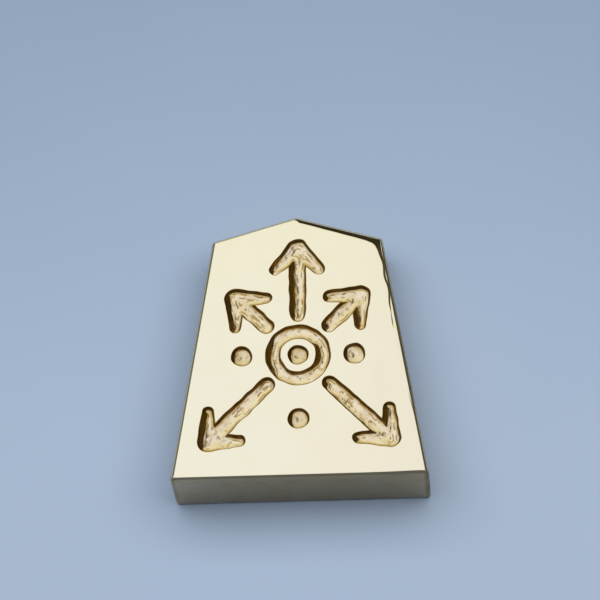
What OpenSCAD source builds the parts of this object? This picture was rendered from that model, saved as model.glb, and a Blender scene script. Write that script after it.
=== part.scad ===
// Shogi piece: a cast metal blank with a bright plating all over it.
// The piece lies on its back face. +Y points to the apex, +Z out of the carved face,
// and the origin is under the middle of the piece.
// All lengths are in millimetres and all angles in degrees.

/* [Blank] */
// Length from the base to the apex, along the middle plane
piece_length = 29; // [28:0.1:34]
// Width across the base
base_width = 26.4; // [24:0.1:30]
// Width across the shoulders, where the sides meet the roof
shoulder_width = 17.7; // [16:0.1:20]
// Distance from the base to the line of the shoulders
shoulder_distance = 26.4; // [22:0.1:27]
// Thickness at the base
base_thickness = 8.5; // [7:0.1:10]
// Thickness at the apex
apex_thickness = 5.6; // [4:0.1:6.8]

/* [Edges] */
// Radius that polishing leaves along the edges of the two faces
face_edge_radius = 0.4; // [0.1:0.02:0.5]
// Radius of the five upright corners of the outline
corner_radius = 0.3; // [0.2:0.02:0.6]

/* [Plating] */
// Thickness of the bright plating
plating_thickness = 0.03; // [0.02:0.005:0.06]

/* [Carving] */
// Depth of the carving below the polished face
carving_depth = 0.6; // [0.3:0.05:1]
// Bare margin between the points of the arrows and the edges of the face
carving_margin = 2.6; // [2:0.1:4]
// Distance from the base to the middle of the carving
carving_middle = 13.4; // [12:0.1:15]
// Bearing of the slanting arrows, from the line of the apex
slant_bearing = 45; // [40:1:50]
// Width of an arrow's shaft at its tail
shaft_tail_width = 1.4; // [1:0.05:1.7]
// Width of an arrow's shaft at its head
shaft_head_width = 1.7; // [1.2:0.05:2]
// Length of a barb, between the middles of its two round ends
barb_length = 3.3; // [2.6:0.1:4]
// Angle between a barb and the shaft
barb_angle = 44; // [36:1:50]
// Width of a barb at the point of the arrow
barb_head_width = 1.9; // [1.6:0.05:2.2]
// Width of a barb at its free end
barb_tail_width = 1; // [0.7:0.05:1.3]
// Bare land between the ring and the tails of the arrows
arrow_land = 0.6; // [0.4:0.05:1]
// Diameter of the spots where no arrow points
spot_diameter = 2; // [1.4:0.1:2.6]

/* [Ring] */
// Radius of the ring, to the middle of its groove
ring_radius = 2.6; // [2.3:0.05:3]
// Width of the ring's groove
ring_width = 1.3; // [0.9:0.05:1.5]
// Diameter of the dot inside the ring
dot_diameter = 1.9; // [1.4:0.1:2.2]

/* [Hidden] */

// Steps that stand for a round stretch
edge_steps = 3;
corner_steps = 8;
tail_steps = 6;
head_steps = 4;
ring_facets = 96;

// Overrun of a cut past the surface that it opens, and the reach of a cutting block
overrun = 1;
block = 2 * (piece_length + base_width);

// Each face leans from the middle plane by half of the wedge's angle
half_wedge = atan((base_thickness - apex_thickness) / 2 / piece_length);
face_distance = base_thickness / 2 * cos(half_wedge);
face_normals = [[0, sin(half_wedge), cos(half_wedge)], [0, sin(half_wedge), -cos(half_wedge)]];

// Corners of the outline in the middle plane, counterclockwise from the right of the base
corners = [
    [base_width / 2, 0],
    [shoulder_width / 2, shoulder_distance],
    [0, piece_length],
    [-shoulder_width / 2, shoulder_distance],
    [-base_width / 2, 0]
];
sides = len(corners);

// Outward normal of the side that starts at a corner, and its distance from the origin
function side_vector(i) = corners[(i + 1) % sides] - corners[i % sides];
function side_normal(i) = [side_vector(i).y, -side_vector(i).x] / norm(side_vector(i));
function side_distance(i) = side_normal(i) * corners[i % sides];

// Point at one distance inside both of the sides that meet at a corner
function inner_corner(i, inside) =
    let (
        before = side_normal(i + sides - 1),
        after = side_normal(i),
        share = inside / (1 + before * after)
    )
    corners[i] - share * (before + after);

// Angle of a side's normal, counted on so that it grows from side to side
function plain_angle(i) = atan2(side_normal(i).y, side_normal(i).x);
function normal_angle(i) = plain_angle(i) + (plain_angle(i) < plain_angle(0) ? 360 : 0);
function angle_before(i) = i == 0 ? normal_angle(sides - 1) - 360 : normal_angle(i - 1);

// Outline with its five corners rounded, drawn in by an inset
function rounded_outline(inset) = [
    for (i = [0:sides - 1], step = [0:corner_steps])
        let (angle = angle_before(i) + (normal_angle(i) - angle_before(i)) * step / corner_steps)
        inner_corner(i, corner_radius) + (corner_radius - inset) * [cos(angle), sin(angle)]
];

// Normal part of the way round the edge between a side and a face
function rolled_normal(side, face, share) =
    let (angle = acos(side * face))
    (sin((1 - share) * angle) * side + sin(share * angle) * face) / sin(angle);

// Distance from the origin of the plane with that normal that touches the rounded edge
function rolled_distance(side, side_far, face, normal, inset) =
    let (
        lean = side * face,
        side_in = side_far - face_edge_radius,
        face_in = face_distance - face_edge_radius,
        along_side = (side_in - lean * face_in) / (1 - lean * lean),
        along_face = (face_in - lean * side_in) / (1 - lean * lean)
    )
    along_side * (normal * side) + along_face * (normal * face) + face_edge_radius - inset;

// Everything beyond a plane, given by its normal and its distance from the origin
module beyond(normal, distance)
    rotate([0, acos(normal.z), atan2(normal.y, normal.x)])
        translate([-block / 2, -block / 2, distance])
            cube(block);

// Planes that bound the two faces and roll the edges round them, as pairs of normal and distance
function face_planes(inset) = [
    for (face = face_normals) [face, face_distance - inset],
    for (face = face_normals, i = [0:sides - 1], step = [1:edge_steps])
        let (
            side = [side_normal(i).x, side_normal(i).y, 0],
            normal = rolled_normal(side, face, (step - 1 / 2) / edge_steps)
        )
        [normal, rolled_distance(side, side_distance(i), face, normal, inset)]
];

// Shaves the children to a list of planes, one after the other
module shaved(planes, count)
    if (count == 0)
        children();
    else
        difference() {
            shaved(planes, count - 1)
                children();
            beyond(planes[count - 1][0], planes[count - 1][1]);
        }

// Blank in its middle plane, with its surface drawn in by an inset
module blank(inset)
    let (planes = face_planes(inset))
    shaved(planes, len(planes))
        translate([0, 0, -base_thickness])
            linear_extrude(2 * base_thickness)
                polygon(rounded_outline(inset));

// Room along a bearing from the middle of the carving to the bare margin
function reach(bearing) =
    let (heading = [sin(bearing), cos(bearing)])
    min([
        for (i = [0:sides - 1])
            let (closing = side_normal(i) * heading)
            if (closing > 0)
                (side_distance(i) - carving_margin - side_normal(i) * [0, carving_middle]) / closing
    ]);

// Points on an arc about a centre
function arc(centre, radius, from, to, steps) = [
    for (i = [0:steps])
        let (angle = from + (to - from) * i / steps)
        centre + radius * [cos(angle), sin(angle)]
];

// Point where two lines cross, each given by its normal and its distance from the origin
function crossing(normal, distance, other_normal, other_distance) =
    [
        distance * other_normal.y - other_distance * normal.y,
        other_distance * normal.x - distance * other_normal.x
    ] / (normal.x * other_normal.y - normal.y * other_normal.x);

// Right half of an arrow's outline, from the end of its tail to its point. The middle of the
// tail's round end is the origin, and that of the head's lies along +Y.
function half_arrow(long, grow) =
    let (
        tail = shaft_tail_width / 2 + grow,
        point = barb_head_width / 2 + grow,
        free = barb_tail_width / 2 + grow,
        flare = asin((shaft_head_width - shaft_tail_width) / 2 / long),
        taper = asin((point - free) / barb_length),
        inner = barb_angle - 180 + taper,
        outer = barb_angle - taper,
        head = [0, long],
        barb_end = head + barb_length * [sin(barb_angle), -cos(barb_angle)],
        shaft_normal = [cos(flare), -sin(flare)],
        barb_normal = [cos(inner), sin(inner)]
    )
    concat(
        arc([0, 0], tail, -90, -flare, tail_steps),
        [crossing(shaft_normal, tail, barb_normal, barb_normal * head + point)],
        arc(barb_end, free, inner, outer, tail_steps),
        arc(head, point, outer, 90, head_steps)
    );

// Whole outline of an arrow, grown by a margin all round
function arrow_outline(long, grow) =
    let (right = half_arrow(long, grow))
    concat(right, [for (i = [len(right) - 2:-1:1]) [-right[i].x, right[i].y]]);

// Outer radius of the ring's groove
ring_reach = ring_radius + ring_width / 2;

// Arrow on a bearing, from beside the ring out to the bare margin
module arrow(bearing, grow)
    let (start = ring_reach + arrow_land + shaft_tail_width / 2)
    rotate(-bearing)
        translate([0, start])
            polygon(arrow_outline(reach(bearing) - barb_head_width / 2 - start, grow));

// Round spot on a bearing, midway between the ring and the bare margin
module spot(bearing, grow)
    rotate(-bearing)
        translate([0, (ring_reach + reach(bearing)) / 2])
            circle(d = spot_diameter + 2 * grow, $fn = ring_facets);

// Marks to the right of the middle line
module right_marks(grow) {
    arrow(slant_bearing, grow);
    arrow(180 - slant_bearing, grow);
    spot(90, grow);
}

// Carved marks in the plane of the face, grown by a margin all round: an arrow for each way
// that the piece moves, and a spot for each way that it doesn't
module marks(grow)
    translate([0, carving_middle]) {
        arrow(0, grow);
        right_marks(grow);
        mirror([1, 0]) right_marks(grow);
        spot(180, grow);
        circle(d = dot_diameter + 2 * grow, $fn = ring_facets);
        difference() {
            circle(r = ring_reach + grow, $fn = ring_facets);
            circle(r = ring_radius - ring_width / 2 - grow, $fn = ring_facets);
        }
    }

// Blank with its carved face, with its whole surface drawn in by an inset
module carved_blank(inset)
    difference() {
        blank(inset);
        translate([0, 0, base_thickness / 2])
            rotate([-half_wedge, 0, 0])
                translate([0, 0, -carving_depth - inset])
                    linear_extrude(carving_depth + inset + overrun)
                        marks(inset);
    }

// Ends of the piece once it lies on its back face
edge_middle = (face_edge_radius * (1 + sin(half_wedge)) - face_distance) / cos(half_wedge);
near_end = face_edge_radius * (cos(half_wedge) - 1) + edge_middle * sin(half_wedge);
far_end = (inner_corner(2, corner_radius).y + corner_radius) * cos(half_wedge)
    + (apex_thickness / 2 - face_edge_radius) * sin(half_wedge);

// Lays the piece on its back face, with the origin under its middle
module laid_down()
    translate([0, -(near_end + far_end) / 2, face_distance])
        rotate([-half_wedge, 0, 0])
            children();

// Solid casting inside the plating
module cast_body()
    color("#a9824b")
        laid_down()
            carved_blank(plating_thickness);

// Bright plating that covers the casting all over, down into the carving
module gold_plating()
    color("#e9d8a2")
        laid_down()
            difference() {
                carved_blank(0);
                carved_blank(plating_thickness);
            }

cast_body();
gold_plating();
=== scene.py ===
"""Looks of a plated shogi piece that lies on its back on a pale studio floor."""
import logging
import math
from dataclasses import dataclass, replace
from enum import Enum, IntEnum
from functools import reduce
from typing import Callable, Sequence

import bmesh
import bpy
import numpy as np
from mathutils import Matrix, Vector, noise
from mathutils.geometry import delaunay_2d_cdt


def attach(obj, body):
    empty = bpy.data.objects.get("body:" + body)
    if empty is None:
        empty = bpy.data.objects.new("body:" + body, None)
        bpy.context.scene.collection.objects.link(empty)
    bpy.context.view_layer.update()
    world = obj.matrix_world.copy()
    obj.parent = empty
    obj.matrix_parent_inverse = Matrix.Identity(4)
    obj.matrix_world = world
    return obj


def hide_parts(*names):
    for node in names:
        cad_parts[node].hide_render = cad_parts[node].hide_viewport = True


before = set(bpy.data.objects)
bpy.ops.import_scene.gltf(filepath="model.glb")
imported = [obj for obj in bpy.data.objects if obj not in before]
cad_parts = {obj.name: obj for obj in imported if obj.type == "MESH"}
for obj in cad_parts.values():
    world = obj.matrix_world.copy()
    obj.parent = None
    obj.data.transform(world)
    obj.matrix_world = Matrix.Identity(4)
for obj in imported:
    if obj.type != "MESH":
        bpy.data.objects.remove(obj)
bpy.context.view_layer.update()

LOG = logging.getLogger("shogi_piece")
MM = 0.001
BODY = "root"
CARVED = "carved"
SHADED = "shaded"
CLEAR = "clear"
# Smallest share of a direction that still counts, and distance at which points are merged
PARALLEL = 1e-9
MERGED = 1e-7
# Gain that brings a noise to about -1 to 1
NOISE_GAIN = 2

Outline = Callable[[float], np.ndarray]
Mapping = Callable[[np.ndarray], np.ndarray]
Ring = tuple[np.ndarray, np.ndarray]
RimLoop = tuple[np.ndarray, np.ndarray, np.ndarray]
Span = tuple[float, float]
Course = tuple[Span, ...]
Colour = tuple[float, float, float]


class Finish(Enum):
    """Finishes of the plated skin, in the order of its material slots."""

    MIRROR = 0
    SATIN = 1
    CAST = 2


class Corner(IntEnum):
    """Corners of the outline, counterclockwise."""

    RIGHT_FOOT = 0
    RIGHT_SHOULDER = 1
    APEX = 2
    LEFT_SHOULDER = 3
    LEFT_FOOT = 4


class Side(IntEnum):
    """Sides of the outline, each of which starts at the corner of the same number."""

    RIGHT = 0
    RIGHT_ROOF = 1
    LEFT_ROOF = 2
    LEFT = 3
    BASE = 4


@dataclass(frozen=True)
class Blank:
    """Sizes of the wedge-shaped blank in its middle plane, in millimetres."""

    length: float = 29.0
    base_width: float = 26.4
    shoulder_width: float = 17.7
    shoulder_distance: float = 26.4
    base_thickness: float = 8.5
    apex_thickness: float = 5.6
    corner_radius: float = 0.3
    edge_radius: float = 0.4
    plating: float = 0.03

    @property
    def half_wedge(self) -> float:
        """Angle between each face and the middle plane."""
        return math.atan((self.base_thickness - self.apex_thickness) / 2 / self.length)

    @property
    def face_distance(self) -> float:
        """Distance of each face's plane from the origin."""
        return self.base_thickness / 2 * math.cos(self.half_wedge)

    @property
    def corners(self) -> np.ndarray:
        """Corners of the outline, counterclockwise from the right of the base.

        Returns:
            One corner in each row.
        """
        base, shoulder = self.base_width / 2, self.shoulder_width / 2
        return np.array([
            (base, 0.0),
            (shoulder, self.shoulder_distance),
            (0.0, self.length),
            (-shoulder, self.shoulder_distance),
            (-base, 0.0),
        ])

    @property
    def normals(self) -> np.ndarray:
        """Outward normals of the sides, each of which starts at its corner.

        Returns:
            One normal in each row.
        """
        along = np.roll(self.corners, -1, axis=0) - self.corners
        across = np.stack([along[:, 1], -along[:, 0]], axis=1)
        return across / np.linalg.norm(across, axis=1)[:, None]

    @property
    def mitres(self) -> np.ndarray:
        """How far each corner slides when both of its sides move in by one unit.

        Returns:
            One slide in each row.
        """
        after = self.normals
        before = np.roll(after, 1, axis=0)
        return (before + after) / (1 + np.sum(before * after, axis=1))[:, None]

    def face_height(self, points: np.ndarray) -> np.ndarray:
        """Height of the carved face over places in the middle plane."""
        lean = self.half_wedge
        return (self.face_distance - points[:, 1] * math.sin(lean)) / math.cos(lean)

    def on_face(self, points: np.ndarray, depth: np.ndarray) -> np.ndarray:
        """Turns places in the plane of the carved face into places in the blank.

        Args:
            points: places in the face's plane, with the base's middle as origin.
            depth: depth of each place below the face.

        Returns:
            The same places in the blank's own axes.
        """
        sine, cosine = math.sin(self.half_wedge), math.cos(self.half_wedge)
        along = points[:, 1] * cosine - depth * sine
        height = self.base_thickness / 2 - points[:, 1] * sine - depth * cosine
        return np.stack([points[:, 0], along, height], axis=1)

    def in_face(self, places: np.ndarray) -> np.ndarray:
        """Turns places in the blank into places in the plane of the carved face.

        Args:
            places: places in the blank's own axes.

        Returns:
            The places in the face's plane.
        """
        sine, cosine = math.sin(self.half_wedge), math.cos(self.half_wedge)
        height = places[:, 2] - self.base_thickness / 2
        return np.stack([places[:, 0], places[:, 1] * cosine - height * sine], axis=1)

    def laid_down(self, places: np.ndarray) -> np.ndarray:
        """Lays the blank on its back face, with the origin under its middle.

        Args:
            places: places in the blank's own axes, in millimetres.

        Returns:
            The places in the part's frame, in metres.
        """
        lean, radius = self.half_wedge, self.edge_radius
        sine, cosine = math.sin(lean), math.cos(lean)
        edge = (radius * (1 + sine) - self.face_distance) / cosine
        near = radius * (cosine - 1) + edge * sine
        apex = Corner.APEX
        tip = self.corners[apex][1] - self.corner_radius * (self.mitres[apex][1] - 1)
        far = tip * cosine + (self.apex_thickness / 2 - radius) * sine
        along = places[:, 1] * cosine + places[:, 2] * sine - (near + far) / 2
        height = places[:, 2] * cosine - places[:, 1] * sine + self.face_distance
        return np.stack([places[:, 0], along, height], axis=1) * MM


@dataclass(frozen=True)
class Carving:
    """Sizes of the carved marks in the plane of the face, in millimetres."""

    depth: float = 0.6
    margin: float = 2.6
    middle: float = 13.4
    slant: float = 45.0
    shaft_tail: float = 1.4
    shaft_head: float = 1.7
    barb_length: float = 3.3
    barb_angle: float = 44.0
    barb_head: float = 1.9
    barb_tail: float = 1.0
    land: float = 0.6
    spot: float = 2.0
    ring_radius: float = 2.6
    ring_width: float = 1.3
    dot: float = 1.9
    shoulder_radius: float = 0.13
    # shoulder_shade and steep_shade are shares of painted shade on the recess walls: a dark outline
    # on the rounded lip, and less shade on the steep walls than on the sloping side
    shoulder_shade: float = 1.25
    shoulder_turn: float = 18.0
    shoulder_steps: int = 5
    wall_angle: float = 81.0
    wall_steps: int = 3
    foot_radius: float = 0.12
    foot_rise: float = 0.15
    foot_steps: int = 7
    slope_width: float = 0.36
    slope_bearing: float = 183.0
    slope_facing: float = 0.72
    slope_blend: float = 0.22
    slope_run: float = 4.5
    small_room: float = 0.5
    small_clear: float = 0.16
    steep_shade: float = 0.45
    hollow: float = 0.18
    floor_spacing: float = 0.11
    floor_clear: float = 0.6
    wobble: float = 0.055
    wobble_scale: float = 0.9
    wobble_seeds: Span = (21.0, 34.0)

    @property
    def ring_reach(self) -> float:
        """Outer radius of the ring's groove."""
        return self.ring_radius + self.ring_width / 2

    def reach(self, blank: Blank, bearing: float) -> float:
        """Room from the middle of the carving to the bare margin.

        Args:
            blank: the blank that carries the carving.
            bearing: direction from the line of the apex, in degrees.

        Returns:
            The distance along the bearing.
        """
        heading = np.array([math.sin(math.radians(bearing)), math.cos(math.radians(bearing))])
        middle = np.array([0.0, self.middle])
        room = []
        for corner, normal in zip(blank.corners, blank.normals):
            closing = float(normal @ heading)
            if closing > PARALLEL:
                room.append(float(normal @ corner - self.margin - normal @ middle) / closing)
        return min(room)

    def wall(self, thickness: float) -> list["WallPoint"]:
        """Cross-section of a recess, from the face down to the floor.

        Args:
            thickness: how far the surface is drawn in behind the plated one.

        Returns:
            The points of the cross-section.
        """
        steep = math.radians(self.wall_angle)
        deep = self.depth - self.foot_rise
        fall = deep - (self.shoulder_radius + self.foot_radius) * (1 - math.cos(steep))
        run = fall / math.tan(steep)
        start = self.shoulder_radius * math.sin(steep) + run / 2
        foot = -run / 2 - self.foot_radius * math.sin(steep)
        section = []
        for step in range(self.shoulder_steps + 1):
            turn = steep * step / self.shoulder_steps
            grow = start - self.shoulder_radius * math.sin(turn)
            depth = self.shoulder_radius * (1 - math.cos(turn))
            # painted shade: the rounded lip gets a dark outline as it turns down
            lip = self.shoulder_shade * min(1.0, turn / math.radians(self.shoulder_turn))
            section.append(WallPoint(grow, depth, turn, lip=lip))
        for step in range(1, self.wall_steps):
            share = step / self.wall_steps
            grow = run / 2 - run * share
            depth = self.shoulder_radius * (1 - math.cos(steep)) + fall * share
            section.append(WallPoint(grow, depth, steep, self.slope_width * share))
        for step in range(self.foot_steps + 1):
            share = step / self.foot_steps
            turn = steep * (1 - share)
            grow = foot + self.foot_radius * math.sin(turn)
            depth = deep - self.foot_radius * (1 - math.cos(turn))
            section.append(WallPoint(grow, depth, turn, self.slope_width, share**2))
        return [point.behind(thickness) for point in section]


@dataclass(frozen=True)
class WallPoint:
    """One point of the cross-section of a recess."""

    SHADE_START = 0.45
    SHADE_SPAN = 0.4

    grow: float
    depth: float
    turn: float
    slope: float = 0.0
    relief: float = 0.0
    lip: float = 0.0

    @property
    def shade(self) -> float:
        """Share of painted shade on the steep part of a recess wall, growing with its steepness."""
        return min(1.0, max(0.0, (math.sin(self.turn) ** 2 - self.SHADE_START) / self.SHADE_SPAN))

    def behind(self, thickness: float) -> "WallPoint":
        """The same point of a surface that lies a layer lower.

        Args:
            thickness: thickness of the layer.

        Returns:
            The point.
        """
        return replace(
            self,
            grow=self.grow + thickness * math.sin(self.turn),
            depth=self.depth + thickness * math.cos(self.turn),
        )


def arc(centre: Sequence[float], radius: float, start: float, end: float, steps: int) -> np.ndarray:
    """Points on an arc between two angles in radians, ends included."""
    angles = np.linspace(start, end, steps + 1)
    return np.asarray(centre) + radius * np.stack([np.cos(angles), np.sin(angles)], axis=1)


def between(start: np.ndarray, end: np.ndarray, count: int) -> np.ndarray:
    """Points that part the way between two places evenly, without the places themselves."""
    shares = (np.arange(1, count) / count)[:, None]
    return start + (end - start) * shares


@dataclass(frozen=True)
class Arrow:
    """Outline of one carved arrow, placed on the face."""

    carving: Carving
    bearing: float
    start: float
    long: float
    spacing: float = 0.2
    tail_steps: int = 8
    barb_steps: int = 14
    head_steps: int = 6

    def half(self, grow: float) -> np.ndarray:
        """Right half of the outline, from the end of the tail to the point.

        Args:
            grow: margin by which the outline is grown all round.

        Returns:
            The points along +Y, with the middle of the tail's round end as origin.
        """
        sizes = self.carving
        tail = sizes.shaft_tail / 2 + grow
        point = sizes.barb_head / 2 + grow
        free = sizes.barb_tail / 2 + grow
        angle = math.radians(sizes.barb_angle)
        flare = math.asin((sizes.shaft_head - sizes.shaft_tail) / 2 / self.long)
        taper = math.asin((point - free) / sizes.barb_length)
        inner, outer = angle - math.pi + taper, angle - taper
        head = np.array([0.0, self.long])
        end = head + sizes.barb_length * np.array([math.sin(angle), -math.cos(angle)])
        shaft = np.array([math.cos(flare), -math.sin(flare)])
        barb = np.array([math.cos(inner), math.sin(inner)])
        crook = np.linalg.solve(np.array([shaft, barb]), np.array([tail, barb @ head + point]))
        tail_end = arc((0.0, 0.0), tail, -math.pi / 2, -flare, self.tail_steps)
        barb_end = arc(end, free, inner, outer, self.barb_steps)
        head_end = arc(head, point, outer, math.pi / 2, self.head_steps)
        along_shaft = round(self.long / self.spacing)
        along_barb = round(sizes.barb_length / self.spacing)
        return np.concatenate([
            tail_end,
            between(tail_end[-1], crook, along_shaft),
            [crook],
            between(crook, barb_end[0], along_barb),
            barb_end,
            between(barb_end[-1], head_end[0], along_barb),
            head_end,
        ])

    def outline(self, grow: float) -> np.ndarray:
        """Whole outline in the plane of the face.

        Args:
            grow: margin by which the outline is grown all round.

        Returns:
            The points, counterclockwise.
        """
        right = self.half(grow)
        whole = np.concatenate([right, right[-2:0:-1] * (-1, 1)])
        turn = math.radians(self.bearing)
        whole = whole + (0, self.start)
        along = whole[:, 1] * math.cos(turn) - whole[:, 0] * math.sin(turn)
        across = whole[:, 0] * math.cos(turn) + whole[:, 1] * math.sin(turn)
        return np.stack([across, along + self.carving.middle], axis=1)


@dataclass(frozen=True)
class Round:
    """Circle on the face: a spot, the dot or one wall of the ring's groove."""

    centre: tuple[float, float]
    radius: float
    sense: int = 1
    spacing: float = 0.13
    least_points: int = 40

    def outline(self, grow: float) -> np.ndarray:
        """Circle in the plane of the face, with its recess grown by a margin."""
        count = max(self.least_points, round(2 * math.pi * self.radius / self.spacing))
        return arc(self.centre, self.radius + self.sense * grow, 0, 2 * math.pi, count)[:-1]


class Marks:
    """All the carved marks, each as the walls that bound one recess."""

    def __init__(self, blank: Blank, carving: Carving) -> None:
        """Lays out the marks.

        Args:
            blank: the blank that carries them.
            carving: their sizes.
        """
        self.blank = blank
        self.carving = carving
        self.recesses: list[list[Outline]] = []
        for bearing in (0, carving.slant, -carving.slant, 180 - carving.slant, carving.slant - 180):
            self.recesses.append([self.arrow(bearing).outline])
        for bearing in (90, -90, 180):
            self.recesses.append([self.spot(bearing).outline])
        middle = (0.0, carving.middle)
        self.recesses.append([Round(middle, carving.dot / 2).outline])
        inner = carving.ring_radius - carving.ring_width / 2
        self.recesses.append([
            Round(middle, carving.ring_reach).outline,
            Round(middle, inner, -1).outline,
        ])

    def arrow(self, bearing: float) -> Arrow:
        """Arrow from beside the ring out to the bare margin.

        Args:
            bearing: direction from the line of the apex, in degrees.

        Returns:
            The arrow.
        """
        sizes = self.carving
        start = sizes.ring_reach + sizes.land + sizes.shaft_tail / 2
        long = sizes.reach(self.blank, bearing) - sizes.barb_head / 2 - start
        return Arrow(sizes, bearing, start, long)

    def spot(self, bearing: float) -> Round:
        """Spot midway between the ring and the bare margin.

        Args:
            bearing: direction from the line of the apex, in degrees.

        Returns:
            The spot.
        """
        sizes = self.carving
        away = (sizes.ring_reach + sizes.reach(self.blank, bearing)) / 2
        turn = math.radians(bearing)
        centre = (away * math.sin(turn), sizes.middle + away * math.cos(turn))
        return Round(centre, sizes.spot / 2)


@dataclass(frozen=True)
class WearAndEdgeShade:
    """How polishing rounded the edge of the carved face, and the painted shade on the edge wall, in
    millimetres and degrees.
    """

    edge_steps: int = 6
    satin_loops: int = 4
    back_steps: int = 5
    roll_radius: float = 0.3
    roll_steps: int = 3
    bevel_slope: float = 27.0
    bevel_shares: tuple[float, ...] = (0.1, 0.8, 0.1)
    least_bevel: float = 0.01
    apex_bevel: float = 0.36
    shoulder_bevel: float = 0.62
    shoulder_round: float = 1.0
    strip_slope: float = 2.0
    strip_start: float = 0.1
    strip_course: Course = (
        (0.0, 0.0), (1.7, 0.06), (3.0, 0.0), (4.3, 0.1), (5.7, 0.0), (7.1, 0.08),
        (8.5, 0.16), (10.5, 0.26), (13.0, 0.26), (17.0, 0.12), (20.0, 0.0),
    )
    step_course: Course = (
        (0.0, 0.62), (1.0, 0.36), (2.0, 0.22), (3.0, 0.14), (5.7, 0.11), (8.0, 0.08),
        (10.0, 0.03), (13.0, 0.0),
    )
    steep_course: Course = (
        (0.0, 1.0), (7.6, 1.0), (8.6, 0.3), (9.6, 0.8), (10.6, 0.2), (12.0, 0.1), (17.0, 0.1),
        (20.5, 1.0),
    )
    break_scale: float = 1.3
    break_seed: float = 7.0
    break_run: float = 12.0
    break_most: float = 1.6
    base_bevel: float = 0.1
    base_fade: float = 3.5
    side_radii: tuple[float, ...] = (0.4, 0.5, 0.5, 0.45, 0.34)
    # painted shade on the edge wall: dark reflection lines at the upright corners, a darker right
    # wall, and a darker middle of the base flank
    near_edge_shades: Span = (1.3, 0.7)
    right_shade: float = 0.3
    flank_shade: float = 0.68
    flank_course: Course = (
        (-12.5, 0.0), (-9.0, 0.35), (-3.0, 0.8), (3.0, 1.0), (9.0, 0.8), (12.5, 0.3),
    )
    crook: float = 0.02
    belly: float = 0.03
    belly_power: int = 4
    ripple: float = 0.02
    ripple_scale: float = 0.7
    ripple_seed: float = 3.0


class Perimeter:
    """Points round the outline that can slide in and out."""

    LEAST_RADIUS = 0.04
    # stands for the corner of a point that is at none
    STRAIGHT = -1

    def __init__(self, blank: Blank, spacing: float = 0.3, corner_steps: int = 8) -> None:
        """Spreads the points.

        Args:
            blank: the blank whose outline they follow.
            spacing: distance between points along the sides.
            corner_steps: steps round each corner.
        """
        self.blank = blank
        angles = np.arctan2(blank.normals[:, 1], blank.normals[:, 0])
        angles = np.where(angles < angles[0], angles + 2 * math.pi, angles)
        points = []
        for side in Side:
            corner, mitre, normal = blank.corners[side], blank.mitres[side], blank.normals[side]
            last = angles[side - 1] - (2 * math.pi if side == Side.RIGHT else 0)
            for step in range(corner_steps + 1):
                angle = last + (angles[side] - last) * step / corner_steps
                owner = side if 2 * step > corner_steps else (side - 1) % len(Side)
                points.append((corner, mitre, (math.cos(angle), math.sin(angle)), owner, side))
            end = (side + 1) % len(Side)
            steps = round(float(np.linalg.norm(blank.corners[end] - corner)) / spacing)
            for step in range(1, steps):
                share = step / steps
                anchor = corner * (1 - share) + blank.corners[end] * share
                sliding = mitre * (1 - share) + blank.mitres[end] * share
                points.append((anchor, sliding, normal, side, self.STRAIGHT))
        gathered = [np.array(values) for values in zip(*points)]
        self.anchors, self.mitres, self.normals, self.sides, self.turning = gathered

    def at(self, inset: np.ndarray) -> np.ndarray:
        """Outline drawn in by an inset, with corners that stay a little round.

        Args:
            inset: how far each point is drawn in.

        Returns:
            The points in the middle plane.
        """
        radius = np.maximum(self.blank.corner_radius - inset, self.LEAST_RADIUS)
        return (
            self.anchors
            - (inset + radius)[:, None] * self.mitres
            + radius[:, None] * self.normals
        )

    def beside(self, corner: Corner) -> np.ndarray:
        """Distance of each point from a corner of the outline."""
        return np.linalg.norm(self.anchors - self.blank.corners[corner], axis=1)


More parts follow.
